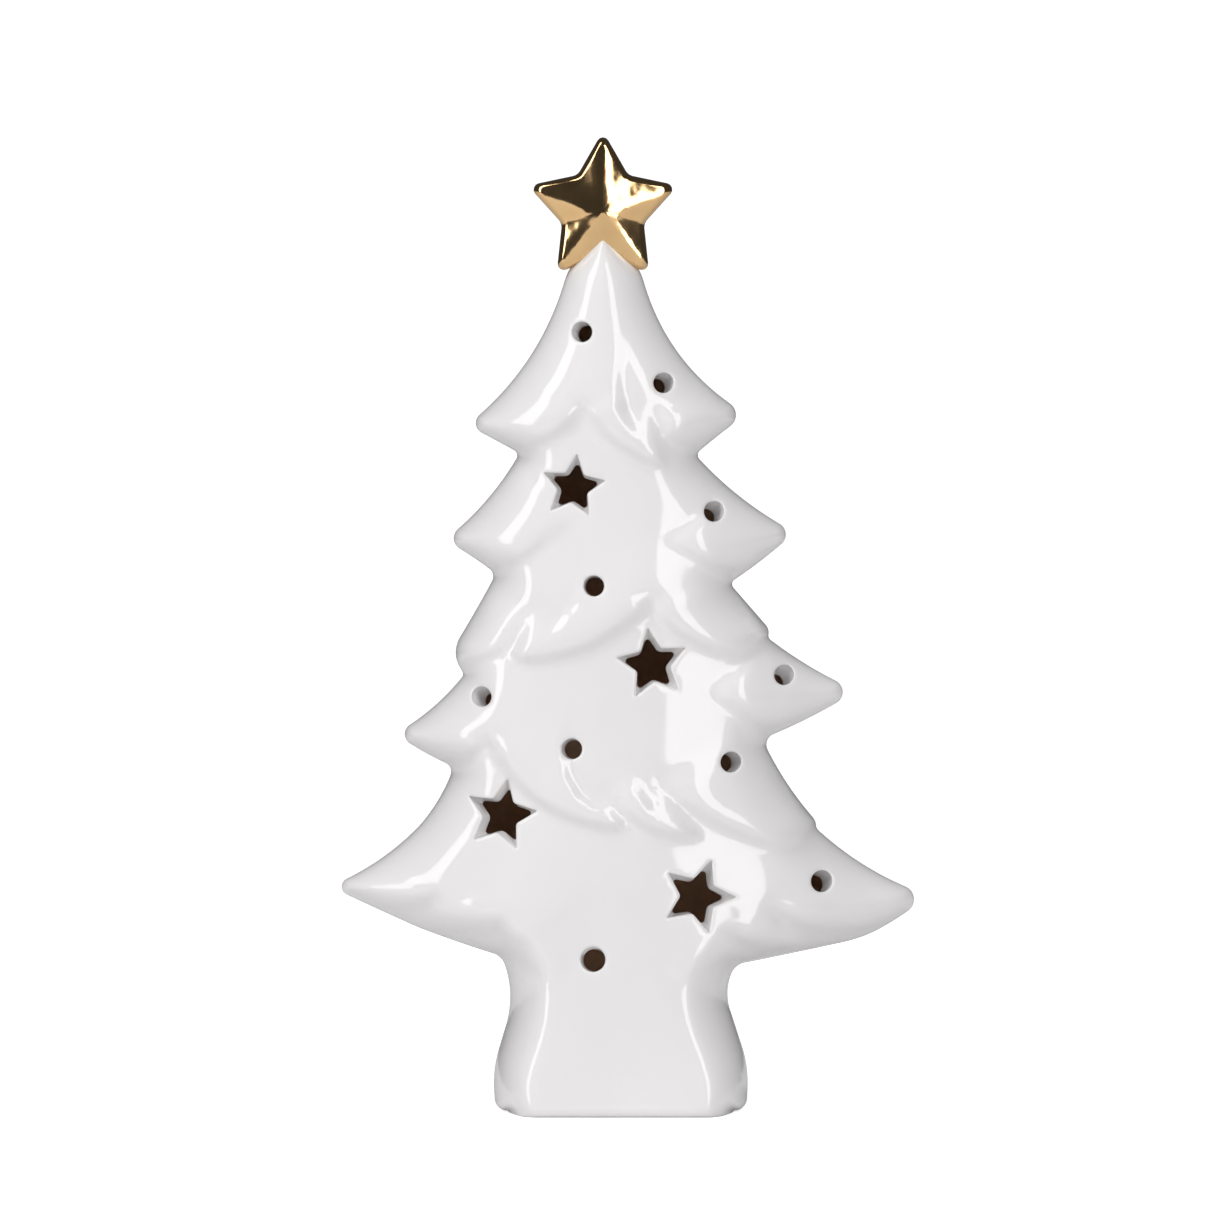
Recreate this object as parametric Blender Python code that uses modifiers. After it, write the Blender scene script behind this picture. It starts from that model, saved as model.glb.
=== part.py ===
"""Glazed ceramic fir-tree tealight holder.

A hollow slip-cast tree, pierced in front by stars and round holes and open low at the
back, with a gold-lustred star on its tip and a wax tealight standing on its floor.
X runs across the tree, -Y is its front, and Z is up from the table.
"""
import math

import bmesh
import bpy
import numpy as np

MM = 0.001

# Driving dimensions, in millimetres.
TREE_TOP = 216.4            # top of the white cone, under the gold star
FRONT_BOTTOM = 31.0         # half depth of the tree at the table
FRONT_TOP = 10.5            # half depth of the tree at its tip
SIDE_FALL = 0.48            # slope of the flanks to each side of the rounded middle
RIDGE_ROUND = 34.0          # how round the middle is
TIP_X = -6.0                # the tip stands a little to the left of the trunk
EDGE_ROUND = 13.0           # how far the rounded edge reaches in from the outline
TRUNK_ROUND = 10.0          # the same at the foot of the trunk, which is rounder
TRUNK_TOP = 42.0
EDGE_POWER = 2.1            # fullness of that rounding
WALL = 4.0                  # thickness of the cast wall
FLOOR = 5.0                 # thickness of the floor, whose top is the tealight's seat
CAVITY_TOP = 199.0          # height at which the hollow ends
HEEL_ROUND = 3.0            # rounding of the foot where it meets the table
AXIS_X = -1.75              # centre of the trunk and of the tealight

DOOR_WIDTH = 45.0           # rear opening, through which the tealight goes in
DOOR_TOP = 28.0
DOOR_CORNER = 9.0

STAR_CENTRE = (-5.9, 221.4)
STAR_REACH = 19.4           # from the centre to a point, before its rounding
STAR_WAIST = 10.6           # from the centre to a notch
STAR_EDGE = 4.6             # half thickness of the star at its edge
STAR_RIDGE = 8.2            # half thickness of the star at its centre
STAR_TIP_ROUND = 1.5

CUP_RADIUS = 19.0
CUP_HEIGHT = 15.5
CUP_WALL = 0.5
WAX_HEIGHT = 11.5
WICK_RADIUS = 0.9
WICK_RISE = 6.0             # how far the wick stands out of the wax
TAB_RADIUS = 6.5
TAB_THICK = 0.6
TAB_COLLAR_RADIUS = 1.7
TAB_COLLAR_HEIGHT = 4.0
GAP = 0.3                   # clearance between pieces that touch

# The tree's outline from its tip down, one row a corner: x, z, how far the corner is
# rounded along each side, and the bow of the edge to the next corner (minus is hollow).
LEFT_SIDE = [
    (-6.0, 217.6, 2.5, 0.0),
    (-14.6, 206.6, 3.0, -3.8),
    (-39.3, 168.5, 4.1, -0.1),
    (-26.4, 161.6, 1.5, -1.4),
    (-44.8, 140.3, 4.3, -0.3),
    (-32.2, 132.0, 2.0, -0.2),
    (-43.0, 113.2, 3.8, 0.2),
    (-40.0, 107.2, 1.0, -1.1),
    (-57.0, 92.6, 4.3, 0.4),
    (-42.8, 84.6, 2.0, -0.3),
    (-46.2, 75.6, 7.0, -2.3),
    (-73.2, 55.0, 4.7, 0.1),
    (-51.0, 44.8, 1.0, 0.2),
    (-30.8, 37.9, 2.2, 0.0),
    (-27.6, 28.2, 7.6, 0.0),
    (-33.1, 10.0, 5.6, 0.0),
    (-32.4, 0.0, 2.8, 0.0),
    (-29.5, 0.0, 0.0, 0.0),
]
RIGHT_SIDE = [
    (-6.0, 217.6, 2.5, 0.0),
    (3.4, 206.6, 3.0, -4.6),
    (29.4, 171.2, 5.0, -0.2),
    (16.8, 161.3, 1.5, -1.4),
    (41.3, 142.2, 4.4, 0.4),
    (25.2, 129.7, 1.5, 0.0),
    (35.0, 118.4, 2.0, 0.0),
    (34.7, 116.2, 1.0, -0.8),
    (56.6, 103.2, 5.9, 0.6),
    (33.3, 91.4, 3.0, -0.9),
    (46.4, 71.3, 1.5, 0.0),
    (46.6, 69.3, 1.0, -1.7),
    (74.2, 52.8, 6.2, 0.7),
    (57.4, 42.2, 4.0, 0.1),
    (26.6, 35.8, 2.4, 0.0),
    (24.0, 29.0, 4.6, 0.0),
    (30.1, 10.5, 5.6, 0.0),
    (29.4, 0.0, 2.8, 0.0),
    (26.5, 0.0, 0.0, 0.0),
]
# Star-shaped windows: x, z, reach of a point, turn in degrees (plus is clockwise).
WINDOWS = [
    (-13.2, 153.9, 8.0, 7.0),
    (6.3, 110.6, 8.9, -8.0),
    (-30.9, 73.6, 9.0, 11.0),
    (17.5, 53.9, 9.3, 20.0),
]
WINDOW_WAIST = 0.47         # notch radius of a window over its reach
# Round light holes: x, z, radius.
LIGHT_HOLES = [
    (-11.0, 191.7, 2.45),
    (8.9, 179.2, 2.45),
    (21.3, 147.7, 2.45),
    (-8.1, 129.7, 2.5),
    (-35.6, 102.4, 2.4),
    (38.5, 107.5, 2.4),
    (-13.5, 89.9, 2.5),
    (25.4, 86.5, 2.5),
    (47.7, 57.0, 2.6),
    (-8.3, 38.6, 3.0),
]

BODY_ROWS = 74
BODY_COLUMNS = 18
HOLLOW_ROWS = 40
HOLLOW_COLUMNS = 12
OUTLINE_STEP = 1.0


def clear_scene():
    for thing in list(bpy.data.objects):
        bpy.data.objects.remove(thing, do_unlink=True)


def make_collection(name):
    collection = bpy.data.collections.new(name)
    bpy.context.scene.collection.children.link(collection)
    return collection


def make_material(name, color, roughness, metallic=0.0):
    material = bpy.data.materials.new(name)
    material.use_nodes = True
    shader = material.node_tree.nodes["Principled BSDF"]
    shader.inputs["Base Color"].default_value = (*color, 1.0)
    shader.inputs["Roughness"].default_value = roughness
    shader.inputs["Metallic"].default_value = metallic
    return material


def bowed_edge(start, end, bow, steps):
    """A parabola from start to end whose middle stands off the chord by bow."""
    start, end = np.array(start), np.array(end)
    chord = end - start
    aside = np.array([chord[1], -chord[0]]) / np.hypot(*chord)
    t = np.linspace(0.0, 1.0, steps)[:, None]
    return start + chord * t + aside * (4.0 * bow * t * (1.0 - t))


def round_corner(leave, corner, rejoin, steps):
    """The points between leave and rejoin of a near circular arc inside a corner: a cubic
    curve whose handles are the share of the corner's legs that a true arc has."""
    leg_in, leg_out = corner - leave, corner - rejoin
    cosine = leg_in @ leg_out / (np.hypot(*leg_in) * np.hypot(*leg_out))
    half = max(math.acos(max(-1.0, min(1.0, cosine))), 0.02) / 2.0
    half = min(half, math.pi / 2.0 - 0.002)
    share = 4.0 / 3.0 * math.tan((math.pi - 2.0 * half) / 4.0) * math.tan(half)
    first, second = leave + leg_in * share, rejoin + leg_out * share
    t = np.linspace(0.0, 1.0, steps)[1:-1, None]
    return ((1 - t) ** 3 * leave + 3 * t * (1 - t) ** 2 * first
            + 3 * t ** 2 * (1 - t) * second + t ** 3 * rejoin)


def side_line(corners, outward):
    """One side of the outline from the tip to the table: bowed edges whose corners are
    each replaced by an arc that leaves and rejoins the edges at the corner's reach."""
    edges = []
    for here, there in zip(corners[:-1], corners[1:]):
        edges.append(bowed_edge(here[:2], there[:2], outward * here[3], 41))
    line = []
    for number, edge in enumerate(edges):
        run = np.concatenate([[0.0], np.cumsum(np.hypot(*np.diff(edge, axis=0).T))])
        first = corners[number][2] if number else 0.0
        last = corners[number + 1][2] if number + 1 < len(edges) else 0.0
        stops = np.arange(first, run[-1] - last, OUTLINE_STEP)
        stops = np.append(stops, run[-1] - last)
        stretch = np.column_stack([np.interp(stops, run, edge[:, axis]) for axis in (0, 1)])
        if line:
            corner = np.array(corners[number][:2])
            line.append(round_corner(line[-1][-1], corner, stretch[0], 9))
        line.append(stretch)
    line = np.concatenate(line)
    keep = np.concatenate([[True], np.diff(np.minimum.accumulate(line[:, 1])) < 0.0])
    return line[keep]


LEFT_LINE = side_line(LEFT_SIDE, 1.0)
RIGHT_LINE = side_line(RIGHT_SIDE, -1.0)
RIM = np.concatenate([LEFT_LINE, RIGHT_LINE])


def side_x(line, z):
    """Where a side of the outline is at the heights z."""
    return np.interp(z, line[::-1, 1], line[::-1, 0])


def edge_distance(x, z):
    """Smooth distance from points inside the outline to it: the fifth-power mean of
    the distances to all of its points, which has no crease along a branch's middle."""
    steps = np.hypot(np.diff(RIM[:, 0]), np.diff(RIM[:, 1]))
    steps = np.append(steps, OUTLINE_STEP)
    steps[len(LEFT_LINE) - 1] = OUTLINE_STEP
    square = (x.reshape(-1, 1) - RIM[:, 0]) ** 2 + (z.reshape(-1, 1) - RIM[:, 1]) ** 2
    square = np.maximum(square, 1e-6)
    nearest = np.sqrt(square.min(axis=1))
    mean = ((steps / square ** 2.5).sum(axis=1) * 0.75) ** -0.25
    share = np.clip((nearest - 1.0) / 2.0, 0.0, 1.0)
    return (nearest + share * (mean - nearest)).reshape(x.shape)


def half_depth(x, z, wall=0.0):
    """Half depth of the tree: a front that leans back and whose flanks fall away from a
    rounded middle, times a rounding that dies out on the outline. A wall makes it the
    half depth of the hollow."""
    lean = FRONT_BOTTOM + (FRONT_TOP - FRONT_BOTTOM) * z / TREE_TOP
    trunk = np.clip((TRUNK_TOP - z) / (TRUNK_TOP - HEEL_ROUND), 0.0, 1.0)
    aside = x - AXIS_X - (TIP_X - AXIS_X) * z / TREE_TOP
    fall = SIDE_FALL * (np.hypot(aside, RIDGE_ROUND) - RIDGE_ROUND) * (1.0 - trunk)
    face = lean - fall - wall
    reach = EDGE_ROUND + (TRUNK_ROUND - EDGE_ROUND) * trunk
    inward = np.clip((edge_distance(x, z) - wall) / reach, 0.0, 1.0)
    return face * (1.0 - (1.0 - inward) ** EDGE_POWER) ** (1.0 / EDGE_POWER)


def loft(name, heights, left, right, columns, wall, collection):
    """A closed solid through level sections. Each section is a front run of points
    from left to right and a back run from right to left, closer together at the ends."""
    spread = (1.0 - np.cos(np.linspace(0.0, math.pi, columns + 1))) / 2.0
    x = left[:, None] + (right - left)[:, None] * spread
    z = np.repeat(heights[:, None], columns + 1, axis=1)
    y = half_depth(x, z, wall)
    if not wall:
        heel = np.clip(1.0 - z / HEEL_ROUND, 0.0, 1.0)
        y = y - 1.6 * heel ** 2
    y[:, 0] = 0.0
    y[:, -1] = 0.0
    front = np.stack([x, -y, z], axis=2)
    back = np.stack([x, y, z], axis=2)[:, -2:0:-1]
    rings = np.concatenate([front, back], axis=1) * MM
    mesh = bpy.data.meshes.new(name)
    shell = bmesh.new()
    rows = [[shell.verts.new(point) for point in ring] for ring in rings]
    for low, high in zip(rows[:-1], rows[1:]):
        for number in range(len(low)):
            following = (number + 1) % len(low)
            shell.faces.new([low[number], low[following], high[following], high[number]])
    shell.faces.new(rows[0][::-1])
    shell.faces.new(rows[-1])
    bmesh.ops.triangulate(shell, faces=shell.faces[:])
    bmesh.ops.recalc_face_normals(shell, faces=shell.faces[:])
    shell.to_mesh(mesh)
    shell.free()
    solid = bpy.data.objects.new(name, mesh)
    collection.objects.link(solid)
    return solid


def prism(name, outline, near, far, collection, centre=None, far_scale=1.0):
    """An outline in the XZ plane carried from y = near to y = far, all in millimetres.
    far_scale shrinks the far end about the centre."""
    mesh = bpy.data.meshes.new(name)
    shell = bmesh.new()
    outline = np.array(outline)
    middle = np.array(centre) if centre is not None else outline.mean(axis=0)
    far_outline = middle + (outline - middle) * far_scale
    ends = []
    for points, y in ((outline, near), (far_outline, far)):
        ends.append([shell.verts.new((x * MM, y * MM, z * MM)) for x, z in points])
    shell.faces.new(ends[0])
    shell.faces.new(ends[1][::-1])
    for number in range(len(outline)):
        following = (number + 1) % len(outline)
        shell.faces.new([ends[0][following], ends[0][number],
                         ends[1][number], ends[1][following]])
    bmesh.ops.recalc_face_normals(shell, faces=shell.faces[:])
    shell.to_mesh(mesh)
    shell.free()
    solid = bpy.data.objects.new(name, mesh)
    collection.objects.link(solid)
    return solid


def star_points(centre, reach, waist, turn=0.0, tip_round=0.0):
    """Corners of a five-pointed star in the XZ plane; tip_round cuts each point off
    into a short arc of three corners."""
    points = []
    for number in range(10):
        angle = math.radians(90.0 - turn - 36.0 * number)
        radius = waist if number % 2 else reach
        points.append((centre[0] + radius * math.cos(angle),
                       centre[1] + radius * math.sin(angle)))
    if not tip_round:
        return points
    blunt = []
    for number, point in enumerate(points):
        if number % 2:
            blunt.append(point)
            continue
        here = np.array(point)
        before = np.array(points[number - 1]) - here
        after = np.array(points[(number + 1) % 10]) - here
        start = here + before / np.hypot(*before) * tip_round * 1.8
        end = here + after / np.hypot(*after) * tip_round * 1.8
        blunt += [tuple(start), tuple((start + end + 2.0 * here) / 4.0), tuple(end)]
    return blunt


def hide_cutter(cutter):
    cutter.hide_render = True
    cutter.display_type = "WIRE"


def cut(target, cutter):
    hide_cutter(cutter)
    difference = target.modifiers.new(cutter.name, "BOOLEAN")
    difference.operation = "DIFFERENCE"
    difference.object = cutter


def hole_axis(x, z):
    """Outward direction of the tree's front at (x, z), from its slope."""
    step = 0.5
    here = np.array([x + step, x - step, x, x])
    there = np.array([z, z, z + step, z - step])
    depth = half_depth(here, there)
    slope_x = (depth[0] - depth[1]) / (2.0 * step)
    slope_z = (depth[2] - depth[3]) / (2.0 * step)
    outward = np.array([-slope_x, -1.0, -slope_z])
    return outward / np.linalg.norm(outward)


def cut_light_hole(tree, number, x, z, radius, cutters):
    """A round hole square to the wall, from outside it to the middle of the hollow."""
    outward = hole_axis(x, z)
    surface = np.array([x, -float(half_depth(np.array([x]), np.array([z]))[0]), z])
    length = 18.0
    middle = surface - outward * (length / 2.0 - 8.0)
    bpy.ops.mesh.primitive_cylinder_add(vertices=16, radius=radius * MM, depth=length * MM,
                                        location=tuple(middle * MM))
    drill = bpy.context.object
    drill.name = f"light_hole_cutter_{number}"
    tilt = math.acos(outward[2])
    turn = math.atan2(outward[1], outward[0])
    drill.rotation_euler = (0.0, tilt, turn)
    for owner in list(drill.users_collection):
        owner.objects.unlink(drill)
    cutters.objects.link(drill)
    cut(tree, drill)


def hollow_sides(heights):
    """Left and right ends of the hollow at each height: the run through the trunk's axis
    that keeps the wall's thickness from the outline."""
    left, right = [], []
    for z in heights:
        x = np.linspace(side_x(LEFT_LINE, z), side_x(RIGHT_LINE, z), 240)
        deep = edge_distance(x, np.full(x.size, z)) > WALL
        middle = np.searchsorted(x, -4.0)
        thin_left = np.nonzero(~deep[:middle])[0]
        thin_right = np.nonzero(~deep[middle:])[0]
        left.append(x[thin_left[-1] + 1])
        right.append(x[middle + thin_right[0] - 1])
    return np.array(left), np.array(right)


def make_tree(parts, cutters, material):
    """The cast tree: outer form, less its hollow, windows, light holes and rear door."""
    heights = np.linspace(HEEL_ROUND, TREE_TOP - 1.0, BODY_ROWS)
    heights = np.concatenate([[0.0, 0.25 * HEEL_ROUND, 0.6 * HEEL_ROUND], heights, [TREE_TOP]])
    tree = loft("tree_body", heights, side_x(LEFT_LINE, heights), side_x(RIGHT_LINE, heights),
                BODY_COLUMNS, 0.0, parts)
    tree.data.materials.append(material)
    inside = np.linspace(FLOOR, CAVITY_TOP, HOLLOW_ROWS)
    left, right = hollow_sides(inside)
    hollow = loft("hollow_cutter", inside, left, right, HOLLOW_COLUMNS, WALL, cutters)
    cut(tree, hollow)
    for number, (x, z, reach, turn) in enumerate(WINDOWS, 1):
        outline = star_points((x, z), reach, reach * WINDOW_WAIST, turn)
        depth = float(half_depth(np.array([x]), np.array([z]))[0])
        window = prism(f"window_cutter_{number}", outline, -depth - 6.0, -depth + 9.0,
                       cutters, (x, z), 0.82)
        cut(tree, window)
    for number, (x, z, radius) in enumerate(LIGHT_HOLES, 1):
        cut_light_hole(tree, number, x, z, radius, cutters)
    half = DOOR_WIDTH / 2.0
    door = [(AXIS_X - half, FLOOR), (AXIS_X + half, FLOOR)]
    for side, first in ((1.0, 0.0), (-1.0, 90.0)):
        for step in range(7):
            angle = math.radians(first + 15.0 * step)
            door.append((AXIS_X + side * (half - DOOR_CORNER) + DOOR_CORNER * math.cos(angle),
                         DOOR_TOP - DOOR_CORNER + DOOR_CORNER * math.sin(angle)))
    cut(tree, prism("door_cutter", door, 12.0, 40.0, cutters))
    return tree


def make_star(parts, cutters, material):
    """The gold star: a faceted front and back on a thick edge, cut out below so that it
    sits astride the tree's tip."""
    outline = star_points(STAR_CENTRE, STAR_REACH, STAR_WAIST, 0.0, STAR_TIP_ROUND)
    mesh = bpy.data.meshes.new("star_topper")
    shell = bmesh.new()
    rims = []
    for y in (-STAR_EDGE, STAR_EDGE):
        rims.append([shell.verts.new((x * MM, y * MM, z * MM)) for x, z in outline])
    peaks = []
    for y in (-STAR_RIDGE, STAR_RIDGE):
        peaks.append(shell.verts.new((STAR_CENTRE[0] * MM, y * MM, STAR_CENTRE[1] * MM)))
    for number in range(len(outline)):
        following = (number + 1) % len(outline)
        shell.faces.new([rims[0][number], rims[0][following], peaks[0]])
        shell.faces.new([rims[1][following], rims[1][number], peaks[1]])
        shell.faces.new([rims[0][following], rims[0][number],
                         rims[1][number], rims[1][following]])
    bmesh.ops.recalc_face_normals(shell, faces=shell.faces[:])
    shell.to_mesh(mesh)
    shell.free()
    star = bpy.data.objects.new("star_topper", mesh)
    parts.objects.link(star)
    star.data.materials.append(material)
    heights = np.linspace(198.0, TREE_TOP + GAP, 12)
    tip = loft("tip_cutter", heights, side_x(LEFT_LINE, heights - GAP) - GAP,
               side_x(RIGHT_LINE, heights - GAP) + GAP, 10, -1.0, cutters)
    cut(star, tip)
    return star


def turned(name, profile, parts, material, location, steps=40, ring=False):
    """A turned piece: a profile of (radius, height) spun about the Z axis. A ring's
    profile closes on itself, and any other starts and ends on the axis."""
    mesh = bpy.data.meshes.new(name)
    shell = bmesh.new()
    verts = [shell.verts.new((radius * MM, 0.0, height * MM)) for radius, height in profile]
    for first, second in zip(verts[:-1], verts[1:]):
        shell.edges.new([first, second])
    if ring:
        shell.edges.new([verts[-1], verts[0]])
    shell.to_mesh(mesh)
    shell.free()
    piece = bpy.data.objects.new(name, mesh)
    piece.location = tuple(np.array(location) * MM)
    parts.objects.link(piece)
    spin = piece.modifiers.new("spin", "SCREW")
    spin.axis = "Z"
    spin.steps = steps
    spin.render_steps = steps
    spin.use_merge_vertices = True
    spin.merge_threshold = 0.00001
    piece.data.materials.append(material)
    return piece


def make_tealight(parts, foil, wax, cotton, tin):
    """The tealight: a pressed cup, its wax, and a wick crimped in a tin tab."""
    base = FLOOR + GAP
    seat = (AXIS_X, 0.0, base)
    cup = [(0.0, CUP_WALL), (CUP_RADIUS - 1.4, CUP_WALL),
           (CUP_RADIUS - CUP_WALL, CUP_HEIGHT - 0.6), (CUP_RADIUS - 0.1, CUP_HEIGHT),
           (CUP_RADIUS + 0.5, CUP_HEIGHT - 0.4), (CUP_RADIUS, CUP_HEIGHT - 1.2),
           (CUP_RADIUS - 0.7, 0.5), (CUP_RADIUS - 1.2, 0.0), (0.0, 0.0)]
    turned("tealight_cup", cup, parts, foil, seat)
    wax_bottom = CUP_WALL + GAP
    wax_top = wax_bottom + WAX_HEIGHT
    foot = CUP_RADIUS - 1.4 - GAP
    rim = CUP_RADIUS - CUP_WALL - 2.0 * GAP
    tab_top = wax_bottom + TAB_THICK + GAP
    collar_top = wax_bottom + TAB_THICK + TAB_COLLAR_HEIGHT + GAP
    bore = WICK_RADIUS + GAP
    body = [(bore, wax_top - 0.5), (rim - 1.5, wax_top - 0.5), (rim - 0.3, wax_top),
            (foot, wax_bottom), (TAB_RADIUS + GAP, wax_bottom), (TAB_RADIUS + GAP, tab_top),
            (TAB_COLLAR_RADIUS + GAP, tab_top), (TAB_COLLAR_RADIUS + GAP, collar_top),
            (bore, collar_top)]
    turned("tealight_wax", body, parts, wax, seat, ring=True)
    collar = [(bore, wax_bottom + TAB_THICK + TAB_COLLAR_HEIGHT),
              (TAB_COLLAR_RADIUS, wax_bottom + TAB_THICK + TAB_COLLAR_HEIGHT),
              (TAB_COLLAR_RADIUS, wax_bottom + TAB_THICK), (TAB_RADIUS, wax_bottom + TAB_THICK),
              (TAB_RADIUS, wax_bottom), (bore, wax_bottom)]
    turned("wick_tab", collar, parts, tin, seat, 24, ring=True)
    top = wax_top + WICK_RISE
    thread = [(0.0, top), (WICK_RADIUS * 0.6, top), (WICK_RADIUS, top - 0.6),
              (WICK_RADIUS, wax_bottom), (0.0, wax_bottom)]
    turned("wick", thread, parts, cotton, seat, 12)


def build():
    clear_scene()
    parts = make_collection("tealight_holder")
    cutters = make_collection("cutters")
    glaze = make_material("white_glaze", (0.80, 0.79, 0.79), 0.15)
    gold = make_material("gold_lustre", (0.60, 0.42, 0.18), 0.22, 1.0)
    foil = make_material("aluminium_foil", (0.78, 0.78, 0.80), 0.30, 1.0)
    wax = make_material("white_wax", (0.90, 0.88, 0.82), 0.45)
    cotton = make_material("cotton_wick", (0.86, 0.83, 0.74), 0.90)
    tin = make_material("tinned_steel", (0.62, 0.62, 0.62), 0.35, 1.0)
    make_tree(parts, cutters, glaze)
    make_star(parts, cutters, gold)
    make_tealight(parts, foil, wax, cotton, tin)


build()
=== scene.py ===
import math

import bmesh
import bpy
import numpy as np
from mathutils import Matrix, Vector, geometry


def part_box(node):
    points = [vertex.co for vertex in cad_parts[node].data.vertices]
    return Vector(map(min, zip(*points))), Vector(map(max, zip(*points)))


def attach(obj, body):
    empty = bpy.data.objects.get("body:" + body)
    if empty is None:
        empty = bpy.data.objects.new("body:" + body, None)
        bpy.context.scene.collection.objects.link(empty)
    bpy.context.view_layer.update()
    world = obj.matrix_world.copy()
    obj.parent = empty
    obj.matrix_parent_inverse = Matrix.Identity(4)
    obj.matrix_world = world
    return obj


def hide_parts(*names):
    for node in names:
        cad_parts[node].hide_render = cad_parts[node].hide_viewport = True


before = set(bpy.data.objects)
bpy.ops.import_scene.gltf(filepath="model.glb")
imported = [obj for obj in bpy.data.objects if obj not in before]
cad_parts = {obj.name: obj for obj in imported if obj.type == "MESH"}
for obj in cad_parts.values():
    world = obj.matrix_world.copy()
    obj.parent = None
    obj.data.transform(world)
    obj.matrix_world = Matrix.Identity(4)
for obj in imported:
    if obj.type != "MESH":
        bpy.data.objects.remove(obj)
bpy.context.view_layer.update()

# ---------------------------------------------------------------------------------------
# The tree's outline. The real tree is slip-cast in a two-part mould, and this is the line
# on which the two halves meet: five tiers of drooping branches over a waisted trunk.
# Each side runs from the tip down, one row a corner: across, up, how far the corner is
# rounded, and the bow of the edge to the next corner (minus is hollow). In millimetres.
MM = 0.001
LEFT_BRANCHES = [
    (-6.0, 217.6, 2.5, 0.0), (-14.6, 206.6, 3.0, -3.8), (-39.3, 168.5, 4.1, -0.1),
    (-26.4, 161.6, 1.5, -1.4), (-44.8, 140.3, 4.3, -0.3), (-32.2, 132.0, 2.0, -0.2),
    (-43.0, 113.2, 3.8, 0.2), (-40.0, 107.2, 1.0, -1.1), (-57.0, 92.6, 4.3, 0.4),
    (-42.8, 84.6, 2.0, -0.3), (-46.2, 75.6, 7.0, -2.3), (-73.2, 55.0, 4.7, 0.1),
    (-51.0, 44.8, 1.0, 0.2), (-30.8, 37.9, 2.2, 0.0), (-27.6, 28.2, 7.6, 0.0),
    (-33.1, 10.0, 5.6, 0.0), (-32.4, 0.0, 2.8, 0.0), (-29.5, 0.0, 0.0, 0.0),
]
RIGHT_BRANCHES = [
    (-6.0, 217.6, 2.5, 0.0), (3.4, 206.6, 3.0, -4.6), (29.4, 171.2, 5.0, -0.2),
    (16.8, 161.3, 1.5, -1.4), (41.3, 142.2, 4.4, 0.4), (25.2, 129.7, 1.5, 0.0),
    (35.0, 118.4, 1.3, 0.0), (34.7, 116.2, 0.8, -0.8), (56.6, 103.2, 5.9, 0.6),
    (33.3, 91.4, 3.0, -0.9), (46.4, 71.3, 1.1, 0.0), (46.6, 69.3, 0.8, -1.7),
    (74.2, 52.8, 6.2, 0.7), (57.4, 42.2, 4.0, 0.1), (26.6, 35.8, 2.4, 0.0),
    (24.0, 29.0, 4.6, 0.0), (30.1, 10.5, 5.6, 0.0), (29.4, 0.0, 2.8, 0.0),
    (26.5, 0.0, 0.0, 0.0),
]
OUTLINE_STEP = 0.75


def bowed_edge(start, end, bow):
    """A parabola from start to end whose middle stands off the chord by bow."""
    start, end = np.array(start), np.array(end)
    chord = end - start
    aside = np.array([chord[1], -chord[0]]) / np.hypot(*chord)
    t = np.linspace(0.0, 1.0, 61)[:, None]
    return start + chord * t + aside * (4.0 * bow * t * (1.0 - t))


def round_corner(leave, corner, rejoin, count):
    """The points between leave and rejoin of a near circular arc inside a corner: a cubic
    curve whose handles are the share of the corner's legs that a true arc has."""
    leg_in, leg_out = corner - leave, corner - rejoin
    cosine = leg_in @ leg_out / (np.hypot(*leg_in) * np.hypot(*leg_out))
    half = np.clip(math.acos(np.clip(cosine, -1.0, 1.0)) / 2.0, 0.01, math.pi / 2.0 - 0.002)
    share = 4.0 / 3.0 * math.tan((math.pi - 2.0 * half) / 4.0) * math.tan(half)
    first, second = leave + leg_in * share, rejoin + leg_out * share
    t = np.linspace(0.0, 1.0, count + 2)[1:-1, None]
    return ((1 - t) ** 3 * leave + 3 * t * (1 - t) ** 2 * first
            + 3 * t ** 2 * (1 - t) * second + t ** 3 * rejoin)


def branch_side(corners, outward):
    """One side of the outline: bowed edges walked at an even step, joined by arcs that
    leave and rejoin them at each corner's own reach."""
    line = []
    for number, (here, there) in enumerate(zip(corners[:-1], corners[1:])):
        edge = bowed_edge(here[:2], there[:2], outward * here[3])
        run = np.concatenate([[0.0], np.cumsum(np.hypot(*np.diff(edge, axis=0).T))])
        first, last = here[2], run[-1] - there[2]
        stops = np.linspace(first, last, max(2, int((last - first) / OUTLINE_STEP) + 1))
        stretch = np.column_stack([np.interp(stops, run, edge[:, axis]) for axis in (0, 1)])
        if line:
            corner = np.array(here[:2])
            bend = int(1.6 * here[2] / OUTLINE_STEP) + 3
            line.append(round_corner(line[-1][-1], corner, stretch[0], bend))
        line.append(stretch)
    return np.concatenate(line)


left_side = branch_side(LEFT_BRANCHES, 1.0)
right_side = branch_side(RIGHT_BRANCHES, -1.0)
rim = np.concatenate([left_side, right_side])
tip_arc = round_corner(right_side[0], np.array([-6.0, 217.6]), left_side[0], 5)
foot_x = np.linspace(left_side[-1, 0], right_side[-1, 0], 90)[1:-1]
foot_line = np.column_stack([foot_x, np.zeros(foot_x.size)])
outline = np.concatenate([left_side, foot_line, right_side[::-1], tip_arc])

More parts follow.
